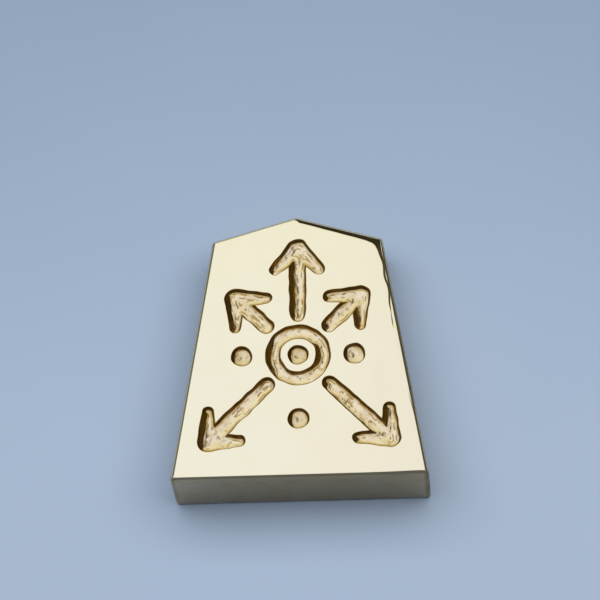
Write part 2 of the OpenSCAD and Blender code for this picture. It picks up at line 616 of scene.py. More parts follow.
class Patchwork:
    """Collects the patches of one closed surface."""

    def __init__(self) -> None:
        """Starts with nothing."""
        self.places: list[np.ndarray] = []
        self.relief: list[np.ndarray] = []
        self.shade: list[np.ndarray] = []
        self.clear: list[np.ndarray] = []
        self.count = 0
        self.faces: list[tuple[tuple[int, ...], int, bool]] = []

    def points(
        self,
        places: np.ndarray,
        relief: float = 0.0,
        shade: float | np.ndarray = 0.0,
        clear: float | np.ndarray = 0.0,
    ) -> np.ndarray:
        """Adds points.

        Args:
            places: their places.
            relief: share of the floor's relief that they take.
            shade: share of painted shade on a wall or edge.
            clear: their distance from the edge of a recess floor, in millimetres.

        Returns:
            Their numbers.
        """
        numbers = np.arange(self.count, self.count + len(places))
        self.places.append(np.asarray(places, float))
        self.relief.append(np.full(len(places), relief))
        self.shade.append(np.broadcast_to(np.asarray(shade, float), len(places)))
        self.clear.append(np.broadcast_to(np.asarray(clear, float), len(places)))
        self.count += len(places)
        return numbers

    def strip(self, first: np.ndarray, second: np.ndarray, finish: Finish) -> None:
        """Joins two closed loops of as many points with one strip of faces."""
        for corners in zip(first, np.roll(first, -1), np.roll(second, -1), second):
            self.faces.append((tuple(int(corner) for corner in corners), finish.value, True))

    def region(
        self,
        loops: Sequence[Ring],
        extra: np.ndarray,
        place: Mapping,
        finish: Finish,
        smooth: bool = False,
        relief: float = 0.0,
        clear: Mapping | None = None,
    ) -> None:
        """Fills the plane between nested loops.

        Args:
            loops: numbers and flat places of each loop's points.
            extra: flat places of inner points.
            place: turns flat places into places of the surface.
            finish: finish of the region.
            smooth: whether it is shaded smooth.
            relief: share of the floor's relief that its inner points take.
            clear: works out the distance of inner points from the region's edge.
        """
        numbers = np.concatenate([loop[0] for loop in loops])
        flat = np.concatenate([loop[1] for loop in loops] + [extra])
        outlines, first = [], 0
        for loop, _ in loops:
            outlines.append(list(range(first, first + len(loop))))
            first += len(loop)
        given = [Vector(point) for point in flat]
        result = delaunay_2d_cdt(given, [], outlines, 0, MERGED, True)
        verts, _, triangles, sources, _, owners = result
        # a triangle inside an odd number of loops is part of the region
        kept = [t for t, owner in zip(triangles, owners) if len(owner) % 2 == 1]
        known: dict[int, int] = {}
        fresh = []
        for vertex in sorted({v for t in kept for v in t}):
            inputs = [s for s in sources[vertex] if s < len(numbers)]
            if inputs:
                known[vertex] = int(numbers[inputs[0]])
            else:
                fresh.append(vertex)
        if fresh:
            spots = np.array([verts[v][:] for v in fresh])
            away = clear(spots) if clear else 0.0
            added = self.points(place(spots), relief, clear=away)
            known.update(zip(fresh, (int(n) for n in added)))
        for triangle in kept:
            self.faces.append((tuple(known[v] for v in triangle), finish.value, smooth))

    def mesh(self, name: str, blank: Blank, inside_out: bool = False) -> bpy.types.Mesh:
        """Turns the patches into one closed mesh.

        Args:
            name: the mesh's name.
            blank: the blank, which says how the piece lies.
            inside_out: whether the faces point inwards.

        Returns:
            The mesh.
        """
        places = blank.laid_down(np.concatenate(self.places))
        faces, finishes, smooth = zip(*self.faces)
        mesh = bpy.data.meshes.new(name)
        mesh.from_pydata(places.tolist(), [], faces)
        mesh.polygons.foreach_set("material_index", finishes)
        mesh.polygons.foreach_set("use_smooth", smooth)
        for label, values in ((CARVED, self.relief), (SHADED, self.shade), (CLEAR, self.clear)):
            layer = mesh.attributes.new(label, "FLOAT", "POINT")
            layer.data.foreach_set("value", np.concatenate(values).astype(np.float32))
        work = bmesh.new()
        work.from_mesh(mesh)
        bmesh.ops.recalc_face_normals(work, faces=work.faces)
        if (work.calc_volume(signed=True) < 0) != inside_out:
            bmesh.ops.reverse_faces(work, faces=work.faces)
        open_edges = sum(1 for edge in work.edges if len(edge.link_faces) != 2)
        LOG.info("%s: %d faces, %d open edges", name, len(work.faces), open_edges)
        work.to_mesh(mesh)
        work.free()
        return mesh


def ripple(places: np.ndarray, scale: float, seed: float) -> np.ndarray:
    """Smooth unevenness at each point, from about -1 to 1, in waves per millimetre."""
    return np.array([noise.noise((x * scale, y * scale, seed)) for x, y in places]) * NOISE_GAIN


class PieceSurface:
    """Whole surface of the piece, or of what lies a layer below it."""

    WALL_ROWS = 8

    def __init__(self, blank: Blank, marks: Marks, wear_and_shade: WearAndEdgeShade, thickness: float) -> None:
        """Settles the shape.

        Args:
            blank: sizes of the blank.
            marks: the carved marks.
            wear_and_shade: how polishing rounded the edges, and the painted shade on the edge wall.
            thickness: how far this surface lies below the plated one.
        """
        self.blank = blank
        self.marks = marks
        self.wear_and_shade = wear_and_shade
        self.thickness = thickness
        self.perimeter = Perimeter(blank)
        self.work = Patchwork()

    def bevels(self) -> RimLoop:
        """Radius, strip and bevel at each point of the carved face's edge.

        Returns:
            Radius of the edge, width of the flat strip beside it, and width of the bevel
            that steps up from the strip to the face.
        """
        rim, wear_and_shade = self.perimeter, self.wear_and_shade
        shoulder, apex = self.blank.corners[[Corner.RIGHT_SHOULDER, Corner.APEX]]
        roof = float(np.linalg.norm(apex - shoulder))
        down = rim.beside(Corner.RIGHT_SHOULDER)
        right = rim.sides == Side.RIGHT
        broken = ripple(rim.anchors, wear_and_shade.break_scale, wear_and_shade.break_seed)
        broken = np.clip(1 + broken * down / wear_and_shade.break_run, 0, wear_and_shade.break_most)
        step = np.interp(down, *zip(*wear_and_shade.step_course)) * broken
        on_roof = wear_and_shade.shoulder_bevel + (wear_and_shade.apex_bevel - wear_and_shade.shoulder_bevel) * down / roof
        bevel = np.where(rim.sides == Side.RIGHT_ROOF, on_roof, 0.0)
        bevel = np.where(right, step, bevel)
        right_normal, roof_normal = self.blank.normals[[Side.RIGHT, Side.RIGHT_ROOF]]
        turn = math.acos(float(right_normal @ roof_normal))
        rounded = np.clip(wear_and_shade.shoulder_round * math.tan(turn / 2) - down, 0, None)
        bevel = bevel + rounded**2 / (2 * wear_and_shade.shoulder_round)
        base = wear_and_shade.base_bevel * np.exp(-((rim.beside(Corner.RIGHT_FOOT) / wear_and_shade.base_fade) ** 2))
        bevel = np.where(rim.sides == Side.BASE, bevel + base, bevel)
        bevel = bevel + ripple(rim.anchors, wear_and_shade.ripple_scale, wear_and_shade.ripple_seed) * wear_and_shade.ripple
        strip = np.where(right, np.interp(down, *zip(*wear_and_shade.strip_course)), 0.0)
        radius = np.array(wear_and_shade.side_radii)[rim.sides]
        bevel = np.clip(bevel, wear_and_shade.least_bevel, None)
        return tuple(self.settled(self.smoothed(values)) for values in (radius, strip, bevel))

    def settled(self, values: np.ndarray) -> np.ndarray:
        """Gives all the points of a corner one value, so that no loop crosses itself there.

        Args:
            values: one value for each point of the outline.

        Returns:
            The values, with each corner's mean at its points.
        """
        values = values.copy()
        for corner in Corner:
            here = self.perimeter.turning == corner
            values[here] = values[here].mean()
        return values

    @staticmethod
    def smoothed(values: np.ndarray, reach: int = 2) -> np.ndarray:
        """Running mean round the closed outline, over some points on each side."""
        return sum(np.roll(values, k) for k in range(-reach, reach + 1)) / (2 * reach + 1)

    def front_rim(self) -> list[RimLoop]:
        """Cross-section of the carved face's edge, from the wall in to the flat face.

        Returns:
            Inset, drop and tilt of each loop, as one value for each point of the outline.
        """
        rim, wear_and_shade = self.perimeter, self.wear_and_shade
        radius, strip, bevel = self.bevels()
        steep = np.interp(rim.beside(Corner.RIGHT_SHOULDER), *zip(*wear_and_shade.steep_course))
        steep = np.where(rim.sides == Side.RIGHT, steep, 1.0)
        slope = math.radians(wear_and_shade.bevel_slope) * self.settled(steep)
        flat = math.radians(wear_and_shade.strip_slope)
        # where a strip runs beside the edge, the edge first rolls on to the strip's own slope
        rolled = slope + (flat - slope) * np.clip(strip / wear_and_shade.strip_start, 0, 1)
        loops = []
        for step in range(wear_and_shade.edge_steps + 1):
            tilt = math.pi / 2 + (rolled - math.pi / 2) * step / wear_and_shade.edge_steps
            loops.append((radius * (1 - np.sin(tilt)), -radius * np.cos(tilt), tilt))
        inset, drop = loops[-1][0], loops[-1][1]
        inset, drop = inset + strip * math.cos(flat), drop - strip * math.sin(flat)
        loops.append((inset, drop, rolled))
        inset, drop = inset + wear_and_shade.crook, drop - wear_and_shade.crook * np.tan((rolled + slope) / 2)
        loops.append((inset, drop, slope))
        # loops close to its ends keep the bevel looking flat, and the roll starts at its last one
        for share in wear_and_shade.bevel_shares:
            inset = inset + share * bevel * np.cos(slope)
            drop = drop - share * bevel * np.sin(slope)
            loops.append((inset, drop, slope))
        loops.pop()
        for step in range(wear_and_shade.roll_steps + 1):
            tilt = slope * (1 - step / wear_and_shade.roll_steps)
            loops.append((
                inset + wear_and_shade.roll_radius * (np.sin(slope) - np.sin(tilt)),
                drop + wear_and_shade.roll_radius * (np.cos(slope) - np.cos(tilt)),
                tilt,
            ))
        last = loops[-1][1]
        return [(inset, drop - last, tilt) for inset, drop, tilt in loops]

    def back_rim(self) -> list[RimLoop]:
        """Cross-section of the back face's edge, from the wall in to the flat face.

        Returns:
            Inset, drop and tilt of each loop, as one value for each point of the outline.
        """
        radius = np.full(len(self.perimeter.sides), self.blank.edge_radius)
        loops = []
        for step in range(self.wear_and_shade.back_steps + 1):
            tilt = np.full(len(radius), math.pi / 2 * (1 - step / self.wear_and_shade.back_steps))
            loops.append((radius * (1 - np.sin(tilt)), radius * (1 - np.cos(tilt)), tilt))
        return loops

    def rim_places(
        self, inset: np.ndarray, drop: np.ndarray, tilt: np.ndarray, side: int
    ) -> np.ndarray:
        """Places of one loop of an edge.

        Args:
            inset: inset of each point from the wall.
            drop: drop of each point from the face.
            tilt: tilt of the surface there.
            side: 1 for the carved face, -1 for the back.

        Returns:
            The places in the blank's axes.
        """
        inset = inset + self.thickness * np.sin(tilt) + self.wear_and_shade.belly
        drop = drop + self.thickness * np.cos(tilt)
        flat = self.perimeter.at(inset)
        return np.column_stack([flat, side * (self.blank.face_height(flat) - drop)])

    def upright_shade(self) -> np.ndarray:
        """Painted shade on the edge wall: dark lines at its upright corners, a darker right side, and
        a darker middle of the base flank.

        Returns:
            The share of the dark tone at each point of the outline.
        """
        rim, wear_and_shade = self.perimeter, self.wear_and_shade
        right_edge, left_edge = wear_and_shade.near_edge_shades
        shade = right_edge * (rim.turning == Corner.RIGHT_FOOT)
        shade = shade + left_edge * (rim.turning == Corner.LEFT_FOOT)
        course = np.interp(rim.anchors[:, 0], *zip(*wear_and_shade.flank_course))
        shade = np.maximum(shade, wear_and_shade.flank_shade * course * (rim.sides == Side.BASE))
        return np.maximum(shade, wear_and_shade.right_shade * (rim.sides == Side.RIGHT))

    def edges(self) -> Ring:
        """Makes both rounded edges and the wall between them.

        Returns:
            Numbers of the innermost loops, of the carved face and of the back.
        """
        ends, walls, wear_and_shade = [], [], self.wear_and_shade
        upright = self.upright_shade()
        for side, rim in ((1, self.front_rim()), (-1, self.back_rim())):
            last = None
            for k, (inset, drop, tilt) in enumerate(rim):
                places = self.rim_places(inset, drop, tilt, side)
                loop = self.work.points(places, shade=upright * (k < wear_and_shade.satin_loops))
                if last is None:
                    walls.append((loop, places))
                else:
                    polished = side == 1 and k >= wear_and_shade.satin_loops
                    self.work.strip(last, loop, Finish.MIRROR if polished else Finish.SATIN)
                last = loop
            ends.append(last)
        (top, top_places), (bottom, bottom_places) = walls
        last = top
        for row in range(1, self.WALL_ROWS):
            share = row / self.WALL_ROWS
            belly = wear_and_shade.belly * (2 * share - 1) ** wear_and_shade.belly_power
            flat = self.perimeter.at(np.full(len(top), belly + self.thickness))
            height = top_places[:, 2] * (1 - share) + bottom_places[:, 2] * share
            loop = self.work.points(np.column_stack([flat, height]), shade=upright)
            self.work.strip(last, loop, Finish.SATIN)
            last = loop
        self.work.strip(last, bottom, Finish.SATIN)
        return ends[0], ends[1]

    def unsteady(self, flat: np.ndarray) -> np.ndarray:
        """Wanders an outline off its true line, as in a casting.

        Args:
            flat: places in the plane of the face.

        Returns:
            The places where the casting has them.
        """
        sizes = self.marks.carving
        moves = [ripple(flat, sizes.wobble_scale, seed) for seed in sizes.wobble_seeds]
        return flat + np.stack(moves, axis=1) * sizes.wobble

    def room(self, outline: Outline) -> float:
        """Share of the wide slope that a mark has room for."""
        return min(1.0, float(np.ptp(outline(0.0)[:, 1])) / self.marks.carving.slope_run)

    def sloping(self, outline: Outline) -> np.ndarray:
        """Share of the wide slope at each point of an outline.

        Args:
            outline: the outline.

        Returns:
            1 where the recess opens on the sloping side, 0 on the steep sides.
        """
        sizes = self.marks.carving
        flat = outline(0.0)
        along = np.roll(flat, -1, axis=0) - np.roll(flat, 1, axis=0)
        outward = np.stack([along[:, 1], -along[:, 0]], axis=1)
        outward /= np.linalg.norm(outward, axis=1)[:, None]
        bearing = math.radians(sizes.slope_bearing)
        facing = outward @ np.array([math.cos(bearing), math.sin(bearing)])
        grown = outline(sizes.depth)
        if np.mean(np.sum(outward * (grown - flat), axis=1)) < 0:
            facing = -facing
        share = np.clip((facing - sizes.slope_facing) / sizes.slope_blend, 0, 1)
        eased = share * share * (3 - 2 * share)
        return self.smoothed(eased, reach=1) * self.room(outline)

    def recess(self, loops: Sequence[Outline]) -> list[Ring]:
        """Sinks one mark.

        Args:
            loops: the outlines of the walls that bound it.

        Returns:
            Numbers and flat places of the loops where its walls meet the face.
        """
        sizes = self.marks.carving
        section = sizes.wall(self.thickness)
        starts, ends = [], []
        for outline in loops:
            slope = self.sloping(outline)
            sloping = slope[:, None]
            # painted shade: full on the sloping side of a recess, less on its steep sides, and at
            # least the lip's dark outline
            dark = sizes.steep_shade + (1 - sizes.steep_shade) * slope
            last = None
            for point in section:
                flat = outline(point.grow)
                if point.slope:
                    flat = flat * (1 - sloping) + outline(point.grow - point.slope) * sloping
                flat = self.unsteady(flat)
                places = self.blank.on_face(flat, np.full(len(flat), point.depth))
                shade = np.maximum(point.shade * dark, point.lip)
                loop = self.work.points(places, point.relief, shade)
                if last is None:
                    starts.append((loop, flat))
                else:
                    self.work.strip(last, loop, Finish.CAST)
                last = loop
            ends.append((last, flat))
        sides = [np.stack([flat, np.roll(flat, -1, axis=0)], axis=1) for _, flat in ends]
        edge = np.concatenate(sides)
        depth = sizes.depth - sizes.foot_rise + self.thickness
        small = self.room(loops[0]) < sizes.small_room

        def away(flat: np.ndarray) -> np.ndarray:
            """Distance from the floor's edge, which stays short in a small mark."""
            clear = self.clearance(flat, edge)
            return np.minimum(clear, sizes.small_clear) if small else clear

        def place(flat: np.ndarray) -> np.ndarray:
            """Hollows the floor towards its middle."""
            fall = np.clip(sizes.hollow * self.clearance(flat, edge), 0, sizes.foot_rise)
            return self.blank.on_face(flat, depth + fall)

        extra = self.floor_points(edge)
        self.work.region(ends, extra, place, Finish.CAST, smooth=True, relief=1.0, clear=away)
        return starts

    @staticmethod
    def clearance(points: np.ndarray, edge: np.ndarray) -> np.ndarray:
        """Distance of each point from the nearest of some straight sides.

        Args:
            points: the points.
            edge: both ends of each side.

        Returns:
            The distances.
        """
        start, along = edge[:, 0], edge[:, 1] - edge[:, 0]
        square = np.maximum(np.sum(along**2, axis=1), MERGED**2)
        away = points[:, None] - start[None]
        share = np.clip(np.sum(away * along[None], axis=2) / square, 0, 1)
        nearest = away - share[:, :, None] * along[None]
        return np.sqrt(np.min(np.sum(nearest**2, axis=2), axis=1))

    def floor_points(self, edge: np.ndarray) -> np.ndarray:
        """Spreads points over a recess floor, clear of its edge.

        Args:
            edge: both ends of each side of the floor.

        Returns:
            The flat places of the points, some of which may lie outside.
        """
        spacing, clear = self.marks.carving.floor_spacing, self.marks.carving.floor_clear
        low, high = edge.min(axis=(0, 1)), edge.max(axis=(0, 1))
        rows = np.arange(low[1], high[1], spacing * math.sqrt(3) / 2)
        points = np.array([
            (x + spacing / 2 * (k % 2), y)
            for k, y in enumerate(rows)
            for x in np.arange(low[0], high[0], spacing)
        ])
        return points[self.clearance(points, edge) > clear * spacing]

    def build(self) -> Patchwork:
        """Makes the whole closed surface.

        Returns:
            Its patches.
        """
        rim, back = self.edges()
        places = np.concatenate(self.work.places)
        loops = [(rim, self.blank.in_face(places[rim]))]
        for recess in self.marks.recesses:
            loops.extend(self.recess(recess))
        nothing = np.zeros((0, 2))

        def front_face(flat: np.ndarray) -> np.ndarray:
            """Places in the carved face."""
            return self.blank.on_face(flat, np.full(len(flat), self.thickness))

        def back_face(flat: np.ndarray) -> np.ndarray:
            """Places in the back face."""
            return np.column_stack([flat, self.thickness - self.blank.face_height(flat)])

        self.work.region(loops, nothing, front_face, Finish.MIRROR)
        self.work.region([(back, places[back][:, :2])], nothing, back_face, Finish.SATIN)
        return self.work


class Tree:
    """Short way to lay and link the nodes of one tree."""

    COLUMN = 180
    NOISE_MIDDLE = 0.5
    # sockets of the colour mix
    SHARE, FIRST, SECOND, MIXED = 0, 6, 7, 2

    def __init__(self, tree: bpy.types.NodeTree) -> None:
        """Wraps the tree that gets the nodes."""
        self.tree = tree
        self.column = 0

    def add(self, kind: str, inputs: dict | None = None, **settings: object) -> bpy.types.Node:
        """Adds a node.

        Args:
            kind: the node's type.
            inputs: values or output sockets for its inputs, by name or number.
            settings: its own settings.

        Returns:
            The node.
        """
        node = self.tree.nodes.new(kind)
        node.location = (self.column * self.COLUMN, 0)
        self.column += 1
        for name, value in settings.items():
            setattr(node, name, value)
        for key, value in (inputs or {}).items():
            if isinstance(value, bpy.types.NodeSocket):
                self.tree.links.new(value, node.inputs[key])
            else:
                node.inputs[key].default_value = value
        return node

    def maths(self, operation: str, *values: object, clamp: bool = False) -> bpy.types.NodeSocket:
        """Adds a Math node.

        Args:
            operation: what it works out.
            values: its inputs.
            clamp: whether the result is kept between 0 and 1.

        Returns:
            Its output.
        """
        inputs = dict(enumerate(values))
        node = self.add("ShaderNodeMath", inputs, operation=operation, use_clamp=clamp)
        return node.outputs[0]

    def plus(self, first: object, second: object) -> bpy.types.NodeSocket:
        """Adds one value to another."""
        return self.maths("ADD", first, second)

    def times(self, *values: object) -> bpy.types.NodeSocket:
        """Multiplies two or more values, one after the other."""
        return reduce(lambda product, value: self.maths("MULTIPLY", product, value), values)

    def noise(
        self, place: object, scale: object, detail: float = 0.0, roughness: float = 0.5
    ) -> bpy.types.NodeSocket:
        """Adds a noise texture, with the number and the strength of its finer layers."""
        inputs = {"Vector": place, "Scale": scale, "Detail": detail, "Roughness": roughness}
        return self.add("ShaderNodeTexNoise", inputs).outputs[0]

    def swing(self, texture: bpy.types.NodeSocket) -> bpy.types.NodeSocket:
        """Moves the middle of a noise texture to zero."""
        return self.maths("SUBTRACT", texture, self.NOISE_MIDDLE)

    def attribute(self, name: str) -> bpy.types.NodeSocket:
        """Reads a value that the mesh holds at its points."""
        return self.add("ShaderNodeAttribute", attribute_name=name).outputs["Fac"]

    def smooth(self, value: object, span: Span) -> bpy.types.NodeSocket:
        """Adds a smooth step, which rises from 0 to 1 over a span."""
        inputs = {"Value": value, "From Min": span[0], "From Max": span[1]}
        return self.add("ShaderNodeMapRange", inputs, interpolation_type="SMOOTHSTEP").outputs[0]

    def blend(
        self, share: object, first: object, second: object, way: str = "MIX"
    ) -> bpy.types.NodeSocket:
        """Adds a mix of two colours.

        Args:
            share: share of the second colour.
            first: a colour or a socket.
            second: a colour or a socket.
            way: how the second colour is laid over the first.

        Returns:
            The mixed colour.
        """
        inputs = {self.SHARE: share}
        for key, colour in ((self.FIRST, first), (self.SECOND, second)):
            inputs[key] = colour if isinstance(colour, bpy.types.NodeSocket) else (*colour, 1)
        node = self.add("ShaderNodeMix", inputs, data_type="RGBA", blend_type=way)
        return node.outputs[self.MIXED]


def started_material(name: str) -> tuple[bpy.types.Material, Tree]:
    """Starts a material.

    Args:
        name: its name.

    Returns:
        The material, and its tree, still empty.
    """
    material = bpy.data.materials.new(name)
    material.use_nodes = True
    material.node_tree.nodes.clear()
    return material, Tree(material.node_tree)


def placed(name: str, data: bpy.types.ID) -> bpy.types.Object:
    """Puts a new object into the scene.

    Args:
        name: its name.
        data: its mesh, lamp or camera.

    Returns:
        The object.
    """
    made = bpy.data.objects.new(name, data)
    bpy.context.scene.collection.objects.link(made)
    return made


class ReliefTree:
    """Geometry Nodes tree that gives the floors of the recesses their cast relief."""

    NAME = "cast_relief"
    NUMBERS = (
        ("Swell Height", 0.11 * MM),
        ("Swell Scale", 700.0),
        ("Lump Height", 0.035 * MM),
        ("Lump Scale", 2100.0),
        ("Seed", 4.0),
    )
    # detail and roughness of the two noises
    NOISES = (("Swell", 1.0, 0.4), ("Lump", 0.0, 0.5))
    FLOOR = 0.5

    def __init__(self) -> None:
        """Builds the tree."""
        self.tree = bpy.data.node_groups.new(self.NAME, "GeometryNodeTree")
        face = self.tree.interface
        face.new_socket("Geometry", in_out="INPUT", socket_type="NodeSocketGeometry")
        for name, default in self.NUMBERS:
            socket = face.new_socket(name, in_out="INPUT", socket_type="NodeSocketFloat")
            socket.default_value = default
        face.new_socket("Lift", in_out="INPUT", socket_type="NodeSocketVector")
        face.new_socket("Finish", in_out="INPUT", socket_type="NodeSocketMaterial")
        face.new_socket("Geometry", in_out="OUTPUT", socket_type="NodeSocketGeometry")
        nodes = Tree(self.tree)
        source = nodes.add("NodeGroupInput").outputs
        heights = []
        for name, detail, roughness in self.NOISES:
            inputs = {"W": source["Seed"], "Scale": source[name + " Scale"]}
            inputs |= {"Detail": detail, "Roughness": roughness}
            texture = nodes.add("ShaderNodeTexNoise", inputs, noise_dimensions="4D").outputs[0]
            heights.append(nodes.times(nodes.swing(texture), source[name + " Height"]))
        carved = nodes.add("GeometryNodeInputNamedAttribute", {"Name": CARVED}, data_type="FLOAT")
        share = carved.outputs["Attribute"]
        lift = {0: source["Lift"], "Scale": nodes.times(nodes.plus(*heights), share)}
        offset = nodes.add("ShaderNodeVectorMath", lift, operation="SCALE").outputs[0]
        inputs = {"Geometry": source["Geometry"], "Offset": offset}
        moved = nodes.add("GeometryNodeSetPosition", inputs).outputs[0]
        real = nodes.add("GeometryNodeRealizeInstances", {"Geometry": moved}).outputs[0]
        on_floor = nodes.maths("GREATER_THAN", share, self.FLOOR)
        inputs = {"Geometry": real, "Selection": on_floor, "Material": source["Finish"]}
        dressed = nodes.add("GeometryNodeSetMaterial", inputs).outputs[0]
        nodes.add("NodeGroupOutput", {"Geometry": dressed})

    def apply(self, piece: bpy.types.Object, lift: Vector, finish: bpy.types.Material) -> None:
        """Gives a piece its relief and bakes it into the piece's mesh.

        Args:
            piece: the piece.
            lift: the way in which the relief stands up.
            finish: finish of the relief.
        """
        modifier = piece.modifiers.new("relief", "NODES")
        modifier.node_group = self.tree
        values = {"Lift": tuple(lift), "Finish": finish}
        for item in self.tree.interface.items_tree:
            if item.item_type == "SOCKET" and item.in_out == "INPUT" and item.name in values:
                modifier[item.identifier] = values[item.name]
        piece.update_tag()
        graph = bpy.context.evaluated_depsgraph_get()
        mesh = bpy.data.meshes.new_from_object(piece.evaluated_get(graph))
        piece.modifiers.remove(modifier)
        old = piece.data
        piece.data = mesh
        bpy.data.meshes.remove(old)


@dataclass(frozen=True)
class MetalFinish:
    """One metal finish: its colours, gloss and the grain of its surface, in metres."""

    name: str
    colour: Colour
    stain: Colour
    # shade is the colour of the painted shade on walls, edges and recess floors
    shade: Colour
    roughness: float
    gloss_change: float
    stain_scale: float
    grain_scale: float
    grain_depth: float
    wave_scale: float
    wave_depth: float
    lines: float = 0.0
    line_depth: float = 0.0
    # rim is the strength of the painted shade band beside the recess walls
    rim: float = 0.85

    def material(self, groups: "ShaderGroups") -> bpy.types.Material:
        """Builds the material.

        Args:
            groups: the shared shader groups.

        Returns:
            The material.
        """
        material, nodes = started_material(self.name)
        coords = nodes.add("ShaderNodeTexCoord").outputs["Object"]
        dark, cut = 0.0, 0.0
        # cutter lines and pits darken towards the shade colour, partly as marks and partly as painted
        # shade, and the rim band beside the recess walls is painted shade
        if self.lines:
            inputs = {"Place": coords}
            marks = nodes.add("ShaderNodeGroup", inputs, node_tree=groups.lines).outputs
            streaks = nodes.times(marks["Lines"], self.lines)
            dark = nodes.maths("MAXIMUM", streaks, nodes.times(marks["Rim"], self.rim))
            cut = nodes.times(marks["Lines"], -self.line_depth)
        tint = nodes.add(
            "ShaderNodeGroup",
            {
                "Place": coords,
                "Colour": (*self.colour, 1),
                "Stain": (*self.stain, 1),
                "Shade": (*self.shade, 1),
                "Scale": self.stain_scale,
                "Roughness": self.roughness,
                "Gloss Change": self.gloss_change,
                "Lines": dark,
            },
            node_tree=groups.tint,
        )
        surface = nodes.add(
            "ShaderNodeGroup",
            {
                "Place": coords,
                "Grain Scale": self.grain_scale,
                "Grain Depth": self.grain_depth,
                "Wave Scale": self.wave_scale,
                "Wave Depth": self.wave_depth,
                "Cut": cut,
            },
            node_tree=groups.grain,
        )
        shader = nodes.add(
            "ShaderNodeBsdfPrincipled",
            {
                "Base Color": tint.outputs["Colour"],
                "Roughness": tint.outputs["Roughness"],
                "Normal": surface.outputs["Normal"],
                "Metallic": 1.0,
            },
        )
        nodes.add("ShaderNodeOutputMaterial", {"Surface": shader.outputs[0]})
        return material


@dataclass(frozen=True)
class StainsAndPaintedShade:
    """How stains and painted shade change a metal's colour and gloss.

    Each span says where a noise or a tone starts to count, and where it counts in full.
    """

    detail: float = 4.0
    roughness: float = 0.6
    stains: Span = (0.4, 0.7)
    # patches and least break the painted shade into patches, and deep_colour is a near-black painted
    # shade where it runs past full, as on the recess lips
    patches: float = 0.8
    least: float = 0.95
    deep: Span = (1.0, 1.5)
    deep_share: float = 0.62
    deep_colour: Colour = (0.036, 0.019, 0.004)
    dulling: float = 0.12


@dataclass(frozen=True)
class CutterMarks:
    """Broken lines and pits on a recess floor, darkened partly as painted shade, and a band of
    painted shade beside its walls.

    Distances from the floor's edge are in millimetres, and the scales of the noises that break
    the lines are per metre.
    """

    spacing: float = 0.34
    drift: float = 0.4
    drift_scale: float = 700.0
    drift_detail: float = 2.0
    crests: Span = (0.2, 0.95)
    inside: Span = (0.02, 0.12)
    patch_scale: float = 420.0
    patch_detail: float = 1.0
    patches: Span = (0.40, 0.54)
    gap_scale: float = 1500.0
    gaps: Span = (0.46, 0.56)
    pit_scale: float = 2300.0
    pit_detail: float = 1.0
    pits: Span = (0.6, 0.72)
    pit_share: float = 0.7
    # rim is a band of painted shade beside the walls, broken into patches
    rim: Span = (0.24, 0.04)
    rim_patches: Span = (0.25, 0.6)


